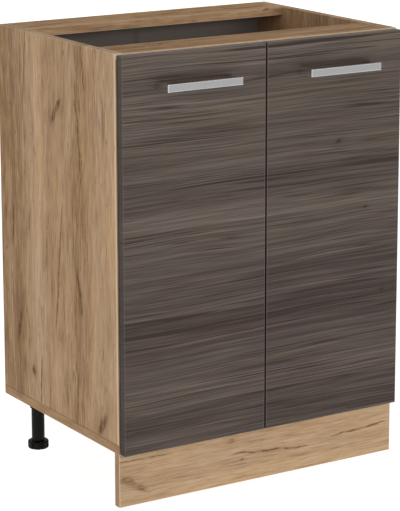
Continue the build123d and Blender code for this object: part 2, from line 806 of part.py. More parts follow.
# Hinge cups, links, arms and mounting plates
arm_low = board + arm_standoff
arm_high = arm_low + arm_height
arm_y = front_y + arm_start
rail_half_width = arm_half_width - arm_wall - plate_rail_clearance
rail_top = board + plate_rail_height
screw_spots = [front_y + setback for setback in adjust_screw_setbacks]
lug_low = door_rear_y - cup_depth
for side in (LEFT, RIGHT):
    tag = SIDE_NAMES[side]
    arm_inner, arm_outer, cup_inner, cup_outer = pivots(side)

    with BuildPart() as cups:
        for level in hinge_heights:
            cup_face = facing_rear(cup_x(side), door_rear_y, level)
            turned(cup_face, (cup_radius, -cup_depth, 0))
            with BuildSketch(door_rear):
                with Locations((cup_x(side), level)):
                    Circle(cup_radius + cup_rim)
                with Locations((ear_x(side), level)):
                    SlotCenterToCenter(cup_ear_spacing, cup_ear_width, rotation=90)
            extrude(amount=-cup_flange)
            turned(
                cup_face,
                (cup_radius - cup_wall, cup_wall - cup_depth, cup_flange),
                mode=Mode.SUBTRACT,
            )
            for spot, start, stop in (
                (cup_inner, lug_layer, lug_top),
                (cup_inner, -lug_top, -lug_layer),
                (cup_outer, -nose_half_width, nose_half_width),
            ):
                box(
                    (spot.X - lug_radius, lug_low, level + start),
                    (spot.X + lug_radius, spot.Y, level + stop),
                )
                turned(upright(spot.X, spot.Y, level), (lug_radius, start, stop))
            with BuildSketch(Plane.XY.offset(level - lug_top)):
                with Locations((cup_inner.X, cup_inner.Y), (cup_outer.X, cup_outer.Y)):
                    Circle(pivot_radius + hole_clearance)
            extrude(amount=2 * lug_top, mode=Mode.SUBTRACT)
            for x, z in ear_spots(side, level):
                turned(
                    facing_rear(x, door_rear_y, z),
                    (cup_screw_radius + hole_clearance, 0, cup_flange),
                    mode=Mode.SUBTRACT,
                )
    save(cups, f"hinge_cups_{tag}")

    with BuildPart() as cup_screws:
        for level in hinge_heights:
            for x, z in ear_spots(side, level):
                turned(
                    facing_rear(x, door_rear_y + cup_flange, z),
                    (cup_screw_radius, -cup_flange - cup_screw_length, 0),
                    (cup_screw_head_radius, 0, cup_screw_head),
                )
    save(cup_screws, f"hinge_cup_screws_{tag}")

    with BuildPart() as cup_pins:
        for level in hinge_heights:
            for step in (-1, 1):
                turned(
                    upright(cup_inner.X, cup_inner.Y, level),
                    (pivot_radius, *sorted((step * inner_layer, step * lug_top))),
                )
            turned(
                upright(cup_outer.X, cup_outer.Y, level),
                (pivot_radius, -outer_top, outer_top),
            )
    save(cup_pins, f"hinge_cup_pins_{tag}")

    inner_knee = shifted(side, inner_link_knee)
    with BuildPart() as inner_links:
        with BuildSketch(mode=Mode.PRIVATE) as inner_outline:
            bar(arm_inner, inner_knee, link_radius)
            bar(inner_knee, cup_inner, link_radius)
            with Locations((arm_inner.X, arm_inner.Y), (cup_inner.X, cup_inner.Y)):
                Circle(pivot_radius + pivot_clearance, mode=Mode.SUBTRACT)
        along = (inner_knee - arm_inner).normalized()
        aside = Vector(along.Y, -along.X) * -side
        web = arm_inner + along * inner_web_distance + aside * inner_web_offset
        for level in hinge_heights:
            layer_plates(inner_outline.sketch, level, inner_layer, inner_top)
            turned(upright(web.X, web.Y, level), (link_web_radius, -inner_top, inner_top))
    save(inner_links, f"hinge_inner_links_{tag}")

    outer_knee = shifted(side, outer_link_knee)
    with BuildPart() as outer_links:
        along = (cup_outer - arm_outer).normalized()
        aside = Vector(-along.Y, along.X) * -side
        eye_start = cup_outer - along * (eye_play / 2)
        eye_stop = eye_start + aside * eye_travel
        eye_middle = (eye_start + eye_stop) / 2
        eye_radius = pivot_radius + eye_play / 2 + eye_clearance
        with BuildSketch(mode=Mode.PRIVATE) as outer_outline:
            bar(arm_outer, outer_knee, link_radius)
            bar(outer_knee, eye_middle, link_radius)
            bar(eye_start, eye_stop, eye_radius + eye_wall)
            with Locations((arm_outer.X, arm_outer.Y)):
                Circle(pivot_radius + pivot_clearance, mode=Mode.SUBTRACT)
            with Locations((eye_middle.X, eye_middle.Y)):
                SlotCenterToCenter(
                    eye_travel,
                    2 * eye_radius,
                    rotation=degrees(atan2(aside.Y, aside.X)),
                    mode=Mode.SUBTRACT,
                )
        web = arm_outer + (outer_knee - arm_outer).normalized() * outer_web_distance
        for level in hinge_heights:
            layer_plates(outer_outline.sketch, level, outer_layer, outer_top)
            turned(upright(web.X, web.Y, level), (link_web_radius, -outer_top, outer_top))
    save(outer_links, f"hinge_outer_links_{tag}")

    with BuildPart() as arm_pins:
        for level in hinge_heights:
            turned(
                upright(arm_inner.X, arm_inner.Y, level),
                (pivot_radius, -lug_layer, lug_layer),
            )
            turned(
                upright(arm_outer.X, arm_outer.Y, level),
                (pivot_radius, -outer_top, outer_top),
            )
    save(arm_pins, f"hinge_arm_pins_{tag}")

    with BuildPart() as arms:
        for level in hinge_heights:
            reach = sorted((side * (half - arm_low), side * (half - arm_high)))
            box(
                (reach[0], arm_y, level - arm_half_width),
                (reach[1], arm_y + arm_length, level + arm_half_width),
            )
            hollow = sorted((side * (half - arm_low), side * (half - arm_high + arm_wall)))
            box(
                (hollow[0], arm_y + arm_wall, level - arm_half_width + arm_wall),
                (hollow[1], arm_y + arm_length, level + arm_half_width - arm_wall),
                mode=Mode.SUBTRACT,
            )
            root = Vector(side * (half - (arm_low + arm_high) / 2), arm_y + arm_wall)
            with BuildSketch(Plane.XY.offset(level)):
                bar(arm_inner, arm_outer, nose_radius)
                bar(arm_inner, root, nose_radius)
                with Locations((arm_inner.X, arm_inner.Y), (arm_outer.X, arm_outer.Y)):
                    Circle(pivot_radius + hole_clearance, mode=Mode.SUBTRACT)
            extrude(amount=nose_half_width, both=True)
            with BuildSketch(across(side, arm_high)):
                with Locations(*[on_side(side, y, level) for y in screw_spots]):
                    Circle(adjust_screw_radius + hole_clearance)
            extrude(amount=-arm_wall, mode=Mode.SUBTRACT)
    save(arms, f"hinge_arms_{tag}")

    with BuildPart() as plates:
        for level in hinge_heights:
            wing = sorted((side * inner_half, side * (inner_half - plate_wing)))
            wing_y = front_y + plate_setback - plate_wing_width / 2
            box(
                (wing[0], wing_y, level - plate_wing_length / 2),
                (wing[1], wing_y + plate_wing_width, level + plate_wing_length / 2),
            )
            rail = sorted((side * inner_half, side * (half - rail_top)))
            rail_y = front_y + plate_rail_start
            box(
                (rail[0], rail_y, level - rail_half_width),
                (rail[1], rail_y + plate_rail_length, level + rail_half_width),
            )
            with BuildSketch(across(side, rail_top)):
                with Locations(*[on_side(side, y, level) for y in screw_spots]):
                    Circle(adjust_screw_radius + hole_clearance)
            extrude(amount=-adjust_screw_reach - hole_tip, mode=Mode.SUBTRACT)
        with BuildSketch(across(side, board)):
            with Locations(*[on_side(side, y, z) for y, z in plate_screw_spots]):
                Circle(pin_radius + hole_clearance)
        extrude(amount=plate_wing, mode=Mode.SUBTRACT)
    save(plates, f"hinge_plates_{tag}")

# Screws of the mounting plates and of the arms
with BuildPart() as plate_screws:
    for side in (LEFT, RIGHT):
        for y, z in plate_screw_spots:
            turned(
                across(side, board + plate_wing, y, z),
                (pin_radius, -plate_wing - plate_screw_depth, 0),
                (plate_screw_head_radius, 0, plate_screw_head),
            )
save(plate_screws, "hinge_plate_screws")

with BuildPart() as adjust_screws:
    for side in (LEFT, RIGHT):
        for level in hinge_heights:
            for y in screw_spots:
                turned(
                    across(side, arm_high, y, level),
                    (adjust_screw_radius, rail_top - adjust_screw_reach - arm_high, 0),
                    (adjust_screw_head_radius, 0, adjust_screw_head),
                )
save(adjust_screws, "hinge_adjusting_screws")
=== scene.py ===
"""Looks of the kitchen base cabinet: board decors, metals, plastics, studio light and camera. Metres."""

import json

import bpy
from mathutils import Euler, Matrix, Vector


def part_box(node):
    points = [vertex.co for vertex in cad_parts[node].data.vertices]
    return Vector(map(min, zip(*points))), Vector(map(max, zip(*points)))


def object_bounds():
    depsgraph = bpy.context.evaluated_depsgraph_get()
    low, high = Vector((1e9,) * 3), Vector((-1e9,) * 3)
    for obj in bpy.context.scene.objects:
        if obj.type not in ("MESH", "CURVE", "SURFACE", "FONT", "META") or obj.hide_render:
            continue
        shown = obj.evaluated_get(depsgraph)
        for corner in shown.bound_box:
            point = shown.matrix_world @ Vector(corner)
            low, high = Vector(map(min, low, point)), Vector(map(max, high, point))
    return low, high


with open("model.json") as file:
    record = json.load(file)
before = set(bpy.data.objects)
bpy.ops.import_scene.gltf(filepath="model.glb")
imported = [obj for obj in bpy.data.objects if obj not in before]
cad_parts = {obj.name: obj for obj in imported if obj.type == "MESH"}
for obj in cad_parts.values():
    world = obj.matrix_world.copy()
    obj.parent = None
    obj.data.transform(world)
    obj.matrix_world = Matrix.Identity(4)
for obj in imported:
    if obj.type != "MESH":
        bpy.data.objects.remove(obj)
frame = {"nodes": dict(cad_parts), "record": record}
nodes = frame["nodes"]
cad_low, cad_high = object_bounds()

# The photograph's camera: picture height, focal length and principal row in pixels, then place and turn
IMAGE_HEIGHT = 511
FOCAL_PIXELS = 2242.0
PRINCIPAL_ROW = 190.2
SENSOR_WIDTH_MM = 36.0
CAMERA_PLACE = (-2.1982, -3.4835, 1.4078)
CAMERA_TURN = (1.35655, 0.00186, -0.56177)

# The floor's size, its clearance under the lowered feet and its glow; the light from all around; and
# the soft light in front
FLOOR_SIZE = 600.0
FLOOR_GAP = 0.0002
FLOOR_GLOW = 0.86
STUDIO_COLOR = (1.0, 0.995, 0.985, 1.0)
STUDIO_STRENGTH = 0.62
FRONT_SOFTBOX = dict(place=(0.9, -4.2, 1.1), target=(0.0, -0.2, 0.4), width=3.2, height=2.2, power=85.0)

# Places on the boards that the decors refer to, from the frame
side_low, side_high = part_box("side_panel_left")
side_front = side_low[1]
side_foot = side_low[2]
side_top = side_high[2]
side_inside = -side_high[0]
side_middle = -(side_low[0] + side_high[0]) / 2
rail_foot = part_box("top_rail_front")[0][2]
door_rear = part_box("door_left")[1][1]

# The middle of a 0 to 1 tone, the tones of a material's darkest and lightest colour, and how squarely a
# face looks along an axis before it counts as facing that way
MID_TONE = 0.5
DARK_TONE, LIGHT_TONE = 0.2, 0.8
SQUARELY = 0.7


def scaled(color, factors):
    """A colour with its red, green and blue each multiplied."""
    return tuple(part * factor for part, factor in zip(color, factors))


def grey(value):
    """The same value for red, green and blue."""
    return (value, value, value)


class Graph:
    """Short calls that add nodes to a tree; most of them return an output socket."""

    def __init__(self, tree):
        self.tree = tree

    def add(self, kind, **settings):
        node = self.tree.nodes.new(kind)
        for key, value in settings.items():
            setattr(node, key, value)
        return node

    def feed(self, socket, value):
        if isinstance(value, bpy.types.NodeSocket):
            self.tree.links.new(value, socket)
        elif value is not None:
            socket.default_value = value

    def math(self, operation, *values, clamp=False):
        node = self.add("ShaderNodeMath", operation=operation, use_clamp=clamp)
        for socket, value in zip(node.inputs, values):
            self.feed(socket, value)
        return node.outputs[0]

    def sum(self, *values):
        total = values[0]
        for value in values[1:]:
            total = self.math("ADD", total, value)
        return total

    def highest(self, *values):
        top = values[0]
        for value in values[1:]:
            top = self.math("MAXIMUM", top, value)
        return top

    def times(self, a, b):
        return self.math("MULTIPLY", a, b)

    def minus(self, a, b):
        return self.math("SUBTRACT", a, b)

    def apart(self, a, b):
        """How far two values lie apart."""
        return self.math("ABSOLUTE", self.minus(a, b))

    def bell(self, square, fall=1.0):
        """1 where a squared distance is 0, falling to 0 with distance."""
        return self.math("EXPONENT", self.times(square, -fall))

    def spread(self, value, amount):
        """A 0 to 1 value as a swing of plus or minus amount."""
        return self.math("MULTIPLY_ADD", value, 2 * amount, -amount)

    def remap(self, value, low, high, to_low=0.0, to_high=1.0):
        node = self.add("ShaderNodeMapRange", interpolation_type="SMOOTHSTEP")
        for socket, item in zip(node.inputs, (value, low, high, to_low, to_high)):
            self.feed(socket, item)
        return node.outputs[0]

    def vector(self, x, y, z=0.0):
        node = self.add("ShaderNodeCombineXYZ")
        for socket, value in zip(node.inputs, (x, y, z)):
            self.feed(socket, value)
        return node.outputs[0]

    def noise(self, x, y, z=0.0, detail=2.0, roughness=0.5):
        node = self.add("ShaderNodeTexNoise")
        self.feed(node.inputs["Vector"], self.vector(x, y, z))
        for key, value in (("Scale", 1.0), ("Detail", detail), ("Roughness", roughness)):
            node.inputs[key].default_value = value
        return node.outputs["Fac"]

    def grain(self, u, v, layer, along, over, shift=0.0, **settings):
        """Noise with so many cycles a metre along u and over v, shifted to a layer of its own."""
        return self.noise(self.times(u, along), self.times(v, over), self.sum(layer, shift), **settings)

    def speckle(self, at, cycles, **settings):
        """Noise with so many cycles a metre along X, Y and Z."""
        places = [self.times(at[axis], count) for axis, count in zip("XYZ", cycles)]
        return self.noise(*places, **settings)

    def ramp(self, value, stops):
        node = self.add("ShaderNodeValToRGB")
        ramp = node.color_ramp
        while len(ramp.elements) < len(stops):
            ramp.elements.new(1.0)
        for element, (place, color) in zip(ramp.elements, stops):
            element.position = place
            element.color = (*color, 1.0)
        self.feed(node.inputs["Fac"], value)
        return node.outputs["Color"]

    def shades(self, tone, color, dark, light):
        """A colour from its dark share to its light share as the tone rises."""
        stops = ((DARK_TONE, scaled(color, grey(dark))), (LIGHT_TONE, scaled(color, grey(light))))
        return self.ramp(tone, stops)

    def mix(self, factor, a, b, blend="MIX"):
        node = self.add("ShaderNodeMix", data_type="RGBA", blend_type=blend)
        for socket, value in ((node.inputs[0], factor), (node.inputs[6], a), (node.inputs[7], b)):
            self.feed(socket, (*value, 1.0) if isinstance(value, tuple) else value)
        return node.outputs[2]

    def tint(self, factor, color, factors):
        """A colour multiplied by factors, as far as factor says."""
        return self.mix(factor, color, factors, blend="MULTIPLY")

    def axes(self, output):
        """X, Y and Z of one of the texture coordinates."""
        coordinates = self.add("ShaderNodeTexCoord")
        split = self.add("ShaderNodeSeparateXYZ")
        self.feed(split.inputs[0], coordinates.outputs[output])
        return dict(zip("XYZ", split.outputs))

    def place(self):
        """X, Y and Z of the point in the object's own frame."""
        return self.axes("Object")

    def facing(self):
        """X, Y and Z of the surface's direction in the object's own frame."""
        return self.axes("Normal")

    def faces(self, direction):
        """1 on faces that look along an axis, either way, and 0 on the others."""
        return self.math("GREATER_THAN", self.math("ABSOLUTE", direction), SQUARELY)

    def pick(self, choice, a, b):
        """The first value where the choice is 0 and the second where it is 1."""
        node = self.add("ShaderNodeMix", data_type="FLOAT")
        for socket, value in zip(node.inputs, (choice, None, a, b)):
            self.feed(socket, value)
        return node.outputs[0]

    def bump(self, height, strength, distance):
        node = self.add("ShaderNodeBump")
        node.inputs["Strength"].default_value = strength
        node.inputs["Distance"].default_value = distance
        self.feed(node.inputs["Height"], height)
        return node.outputs["Normal"]

    def edge(self, radius):
        """Near 1 along a piece's arrises and 0 on its open faces."""
        bevel = self.add("ShaderNodeBevel", samples=6)
        bevel.inputs["Radius"].default_value = radius
        flat = self.add("ShaderNodeNewGeometry")
        node = self.add("ShaderNodeVectorMath", operation="DOT_PRODUCT")
        self.feed(node.inputs[0], bevel.outputs["Normal"])
        self.feed(node.inputs[1], flat.outputs["Normal"])
        return self.remap(node.outputs["Value"], 0.995, 0.80)

    def call(self, group, *values):
        node = self.add("ShaderNodeGroup", node_tree=group)
        for socket, value in zip(node.inputs, values):
            self.feed(socket, value)
        return node.outputs


def new_material(name, **shader_values):
    """A node material with values set on its shader; returns it, its graph and its shader."""
    material = bpy.data.materials.new(name)
    material.use_nodes = True
    shader = material.node_tree.nodes["Principled BSDF"]
    for key, value in shader_values.items():
        shader.inputs[key].default_value = value
    return material, Graph(material.node_tree), shader


def finish_shader(g, shader, color, roughness, normal):
    """Connect a material's colour, roughness and bump."""
    for key, value in (("Base Color", color), ("Roughness", roughness), ("Normal", normal)):
        g.feed(shader.inputs[key], value)


def new_group(name, inputs, outputs):
    """An empty node group of number sockets; returns it, its graph, its inputs and its output node."""
    group = bpy.data.node_groups.new(name, "ShaderNodeTree")
    for label in inputs:
        group.interface.new_socket(label, in_out="INPUT", socket_type="NodeSocketFloat")
    for label in outputs:
        group.interface.new_socket(label, in_out="OUTPUT", socket_type="NodeSocketFloat")
    graph = Graph(group)
    source = graph.add("NodeGroupInput")
    sink = graph.add("NodeGroupOutput")
    return group, graph, dict(zip(inputs, source.outputs)), sink


def make_crack_group():
    """A dark broken line from (U0, V0) to (U1, V1), tapered to both ends, in a soft halo."""
    narrowest = 0.00001
    halo_fall, halo_depth = 0.28, 0.22
    group, g, at, sink = new_group(
        "grain_crack", ("U", "V", "U0", "V0", "U1", "V1", "Width", "Wave"), ("Mask",)
    )
    share = g.math("DIVIDE", g.minus(at["U"], at["U0"]), g.minus(at["U1"], at["U0"]))
    inside = g.highest(g.times(share, g.minus(1.0, share)), 0.0)
    straight = g.math("MULTIPLY_ADD", share, g.minus(at["V1"], at["V0"]), at["V0"])
    ripple = g.grain(at["U"], at["V0"], 0.0, 30.0, 40.0, detail=5.0)
    middle = g.math("MULTIPLY_ADD", g.spread(ripple, 1.0), at["Wave"], straight)
    reach = g.highest(g.times(g.math("SQRT", inside), at["Width"]), narrowest)
    ratio = g.math("DIVIDE", g.apart(at["V"], middle), reach)
    broken = g.grain(at["U"], at["V"], 0.0, 64.0, 110.0, detail=3.0)
    core = g.times(g.math("SUBTRACT", 1.0, ratio, clamp=True), g.remap(broken, 0.34, 0.58, 0.25, 1.0))
    halo = g.math("SUBTRACT", 1.0, g.times(ratio, halo_fall), clamp=True)
    mask = g.math("MULTIPLY_ADD", g.times(halo, halo), halo_depth, core)
    g.feed(sink.inputs["Mask"], g.times(mask, g.math("GREATER_THAN", inside, 0.0)))
    return group


def make_knot_group():
    """A ringed dark knot at (U0, V0), and how far it pushes the grain beside it aside."""
    ring_count, ring_wobble, ring_depth = 6.0, 9.0, 0.13
    core_depth, core_floor = 1.20, -0.24
    halo_fall, halo_depth = 0.25, 0.50
    group, g, at, sink = new_group(
        "grain_knot", ("U", "V", "U0", "V0", "Length", "Breadth", "Tilt"), ("Mask", "Push")
    )
    rise = g.minus(at["U"], at["U0"])
    shift = g.minus(at["V"], at["V0"])
    du = g.math("DIVIDE", rise, at["Length"])
    dv = g.math("DIVIDE", g.minus(shift, g.times(rise, at["Tilt"])), at["Breadth"])
    square = g.sum(g.times(du, du), g.times(dv, dv))
    hill = g.bell(square)
    wobble = g.grain(at["U"], at["V"], 0.0, 70.0, 170.0, detail=4.0)
    phase = g.math("MULTIPLY_ADD", g.math("SQRT", square), ring_count, g.times(wobble, ring_wobble))
    rough = g.sum(g.times(g.math("SINE", phase), ring_depth), g.times(wobble, 1.6))
    core = g.highest(g.math("MULTIPLY_ADD", g.times(hill, rough), core_depth, core_floor), 0.0)
    halo = g.times(g.bell(square, halo_fall), wobble)
    g.feed(sink.inputs["Mask"], g.math("MULTIPLY_ADD", halo, halo_depth, core))
    g.feed(sink.inputs["Push"], g.times(shift, g.times(hill, -0.6)))
    return group


crack_group = make_crack_group()
knot_group = make_knot_group()

# Tones of the oak decor from dark to light grain, the colour of its marks, and the colour, reach and share
# of the painted highlight on its arrises and paled faces
OAK_TONES = (
    (0.15, (0.210, 0.126, 0.064)),
    (0.38, (0.325, 0.204, 0.110)),
    (0.58, (0.392, 0.254, 0.143)),
    (0.88, (0.480, 0.330, 0.196)),
)
OAK_MARK = (0.118, 0.060, 0.024)
OAK_HIGHLIGHT = (0.700, 0.545, 0.395)
OAK_SHINE = 0.02
OAK_ROUGHNESS = (0.92, 0.76)
OAK_BUMP = (0.14, 0.0002)
OAK_MARK_SHARE = 0.90
OAK_HIGHLIGHT_REACH, OAK_HIGHLIGHT_SHARE = 0.0035, 0.85

# How far the noise moves on over a metre of depth in the board, and the share of ripple in the wander
OAK_CHANGE = 23.0
OAK_RIPPLE = 0.16

# Noise layers of the oak decor: cycles a metre along and over the grain, and each one's own shift
OAK_LAYERS = {
    "plank": dict(along=0.5, over=16.0, detail=1.0),
    "blotch": dict(along=30.0, over=72.0, shift=11.0, detail=4.0),
    "cloud": dict(along=3.6, over=30.0, shift=2.0),
    "streak": dict(along=7.0, over=80.0, detail=5.0, roughness=0.66),
    "fibre": dict(along=18.0, over=330.0, detail=3.0, roughness=0.65),
    "pore": dict(along=28.0, over=950.0),
    "hue": dict(along=3.0, over=19.0, shift=7.0),
    "ridge": dict(along=2.6, over=48.0, shift=5.0),
    "where": dict(along=5.0, over=19.0, shift=9.0, detail=1.0),
    "dash": dict(along=24.0, over=210.0, shift=4.0),
    "speck": dict(along=42.0, over=170.0, shift=6.0, detail=1.0),
}
# How far the layers swing the tone: the same on every board, and in step with a board's figure
OAK_SWINGS = {"plank": 0.24, "fibre": 0.48, "pore": 0.24}
OAK_FIGURE_SWINGS = {"blotch": 0.15, "cloud": 0.22, "streak": 0.36}

# A dark seam's full and outer half width and its depth; the strip's tone under a side panel
SEAM_CORE, SEAM_EDGE, SEAM_DEPTH = 0.0006, 0.0032, 0.62
STRIP_TINT = (0.92, 0.90, 0.92)


def turn_edge_bands(g, at, facing, turn, foot):
    """Swap axes so that the grain lies along X within turn of the middle plane, and along Y below foot.

    Below foot it does so only outside turn. That strip is returned: 1 on it and 0 elsewhere.
    """
    lying = g.math("LESS_THAN", g.math("ABSOLUTE", at["X"]), turn)
    strip = g.times(g.math("LESS_THAN", at["Z"], foot), g.minus(1.0, lying))
    for choice, (a, b) in ((lying, "XZ"), (strip, "YZ")):
        for axes in (at, facing):
            axes[a], axes[b] = g.pick(choice, axes[a], axes[b]), g.pick(choice, axes[b], axes[a])
    return strip


def oak_marks(g, layers, figure, gather):
    """Dark veins, dashes and specks, thicker in busy places and where they gather."""
    vein = g.remap(g.apart(layers["ridge"], MID_TONE), 0.003, 0.022, 1.0, 0.0)
    busy = g.highest(g.remap(layers["where"], 0.42, 0.62, 0.25, 1.0), gather)
    return [
        g.times(vein, g.remap(layers["where"], 0.50, 0.68, 0.0, 0.6 * figure)),
        g.times(g.remap(layers["dash"], 0.60, 0.76, 0.0, 0.55 * figure), busy),
        g.times(g.remap(layers["speck"], 0.66, 0.77, 0.0, 0.65 * figure), busy),
    ]


def oak(
    name,
    along,
    across,
    seed,
    shade=grey(1.0),
    narrow_face_painted_light=1.0,
    figure=1.0,
    wander=0.020,
    knots=(),
    knot_depth=1.0,
    cracks=(),
    bands=(),
    seams=(),
    arris_highlight=True,
    highlight_rims=(),
    wear_and_painted_light=(),
    capped=True,
    turn=0.0,
    foot=0.0,
):
    """Matt oak decor, with its grain along one axis: plank tones, streaks, pores, knots and cracks.

    The grain wanders sideways by up to wander. Capped ends wear an edge band with its grain along the
    edge. Bands are darker or lighter planks, and small marks gather on the darker ones. Seams are dark
    lines at places on an axis. Arrises get a painted highlight, which rims limit to where an axis passes
    from one value to the next, and the paling entries paint faces towards the same highlight colour, by
    an amount, as painted light. Narrow faces can be lifted by a factor of painted light against the main
    faces. Turn and foot are for turn_edge_bands.
    """
    material, g, shader = new_material(name, **{"Specular IOR Level": OAK_SHINE})
    at, facing = g.place(), g.facing()
    places = dict(at)
    strip = turn_edge_bands(g, at, facing, turn, foot) if turn else None
    depth = (set("XYZ") - {along, across}).pop()
    end = g.faces(facing[along]) if capped else 0.0
    side = g.faces(facing[across])
    narrow = g.highest(side, end)
    u = g.pick(end, at[along], at[across])
    v = g.pick(narrow, at[across], at[depth])
    level = g.pick(end, g.pick(side, at[depth], at[across]), at[along])
    layer = g.math("MULTIPLY_ADD", level, OAK_CHANGE, seed)
    sway = g.grain(u, v, layer, 2.1, 7.0)
    ripple = g.grain(u, v, layer, 8.0, 46.0, detail=3.0)
    flow = g.sum(v, g.spread(sway, wander), g.spread(ripple, OAK_RIPPLE * wander))
    marks = []
    for knot in knots:
        found = g.call(knot_group, u, v, *knot)
        flow = g.sum(flow, found["Push"])
        marks.append(g.times(found["Mask"], knot_depth))
    for crack in cracks:
        marks.append(g.call(crack_group, u, v, *crack)["Mask"])
    for axis, place in seams:
        marks.append(g.remap(g.apart(places[axis], place), SEAM_CORE, SEAM_EDGE, SEAM_DEPTH, 0.0))
    layers = {key: g.grain(u, flow, layer, **settings) for key, settings in OAK_LAYERS.items()}
    swings = [g.spread(layers[key], amount) for key, amount in OAK_SWINGS.items()]
    swings += [g.spread(layers[key], amount * figure) for key, amount in OAK_FIGURE_SWINGS.items()]
    tone = g.sum(MID_TONE, *swings)
    gather = 0.0
    for center, breadth, amount in bands:
        rise = g.math("DIVIDE", g.minus(v, center), breadth)
        square = g.times(rise, rise)
        hill = g.bell(g.times(square, square))
        tone = g.math("MULTIPLY_ADD", hill, amount, tone)
        if amount < 0.0:
            gather = g.highest(gather, hill)
    color = g.ramp(tone, [(place, scaled(tint, shade)) for place, tint in OAK_TONES])
    if turn:
        color = g.tint(strip, color, STRIP_TINT)
    # Painted light: narrow faces lifted against the main faces
    if narrow_face_painted_light != 1.0:
        color = g.tint(narrow, color, grey(narrow_face_painted_light))
    color = g.tint(g.remap(layers["hue"], MID_TONE, 0.72, 0.0, 0.6), color, (0.97, 0.99, 1.10))
    color = g.tint(g.remap(layers["hue"], MID_TONE, 0.28, 0.0, 0.8), color, (1.03, 0.99, 0.90))
    marks += oak_marks(g, layers, figure, gather)
    # Painted highlight along the arrises, only where the rims allow when they are given
    if arris_highlight:
        rim_highlight = g.times(g.edge(OAK_HIGHLIGHT_REACH), OAK_HIGHLIGHT_SHARE)
        if highlight_rims:
            shown = [g.remap(places[axis], start, full) for axis, start, full in highlight_rims]
            rim_highlight = g.times(rim_highlight, g.highest(*shown))
        color = g.mix(rim_highlight, color, OAK_HIGHLIGHT)
    # Painted light: faces paled towards the highlight colour between start and full, by an amount
    for axis, start, full, amount in wear_and_painted_light:
        color = g.mix(g.remap(places[axis], start, full, 0.0, amount), color, OAK_HIGHLIGHT)
    dark = g.math("MULTIPLY", g.highest(*marks), OAK_MARK_SHARE, clamp=True)
    color = g.mix(dark, color, scaled(OAK_MARK, shade))
    roughness = g.remap(layers["fibre"], DARK_TONE, LIGHT_TONE, *OAK_ROUGHNESS)
    normal = g.bump(g.sum(layers["fibre"], layers["pore"]), *OAK_BUMP)
    finish_shader(g, shader, color, roughness, normal)
    return material


# Tones of the doors' decor from dark to light grain, the colour of its lines, the colour of the painted
# highlight on its arrises, and the colour of the painted shade on the rear of its edge, in the gap beside
# the carcass
DOOR_TONES = (
    (0.05, (0.0225, 0.0150, 0.0122)),
    (0.36, (0.0455, 0.0325, 0.0268)),
    (0.62, (0.0730, 0.0553, 0.0463)),
    (0.95, (0.1170, 0.0935, 0.0795)),
)
DOOR_LINE = (0.0235, 0.0135, 0.0095)
DOOR_HIGHLIGHT = (0.150, 0.136, 0.132)
DOOR_GAP_SHADE = (0.012, 0.008, 0.007)

# Light and dark bands of the door decor, as (share of the cabinet's height, tone)
DOOR_LEVELS = (
    (0.10, 0.40),
    (0.19, 0.42),
    (0.24, 0.62),
    (0.32, 0.54),
    (0.40, 0.40),
    (0.50, 0.43),
    (0.56, 0.56),
    (0.625, 0.70),
    (0.685, 0.47),
    (0.78, 0.56),
    (0.90, 0.61),
    (0.98, 0.72),
)
# Sets of thin dark lines: cycles a metre along and over the grain, width, and the least tone of the
# layer that shows them
DOOR_LINE_SETS = (
    (0.6, 66.0, 0.021, 0.31),
    (1.0, 140.0, 0.036, 0.40),
    (2.4, 260.0, 0.046, 0.44),
)
# The grain's slope, the reach of its sway and ripple, and how far the noise moves on over a metre of depth
DOOR_SLOPE, DOOR_SWAY, DOOR_RIPPLE = -0.006, 0.013, 0.0026
DOOR_CHANGE = 9.0
DOOR_ROUGHNESS = (0.27, 0.18)
DOOR_BUMP = (0.05, 0.0002)
# Reach and share of the painted highlight along the door's arrises
DOOR_HIGHLIGHT_REACH, DOOR_HIGHLIGHT_SHARE = 0.0022, 0.50

# Where the painted shade on the rear of the door edge, for the gap beside the carcass, begins and is full,
# before the door's rear face, and its share
GAP_SHADE_START, GAP_SHADE_FULL, GAP_SHADE_SHARE = 0.0045, 0.0020, 0.85


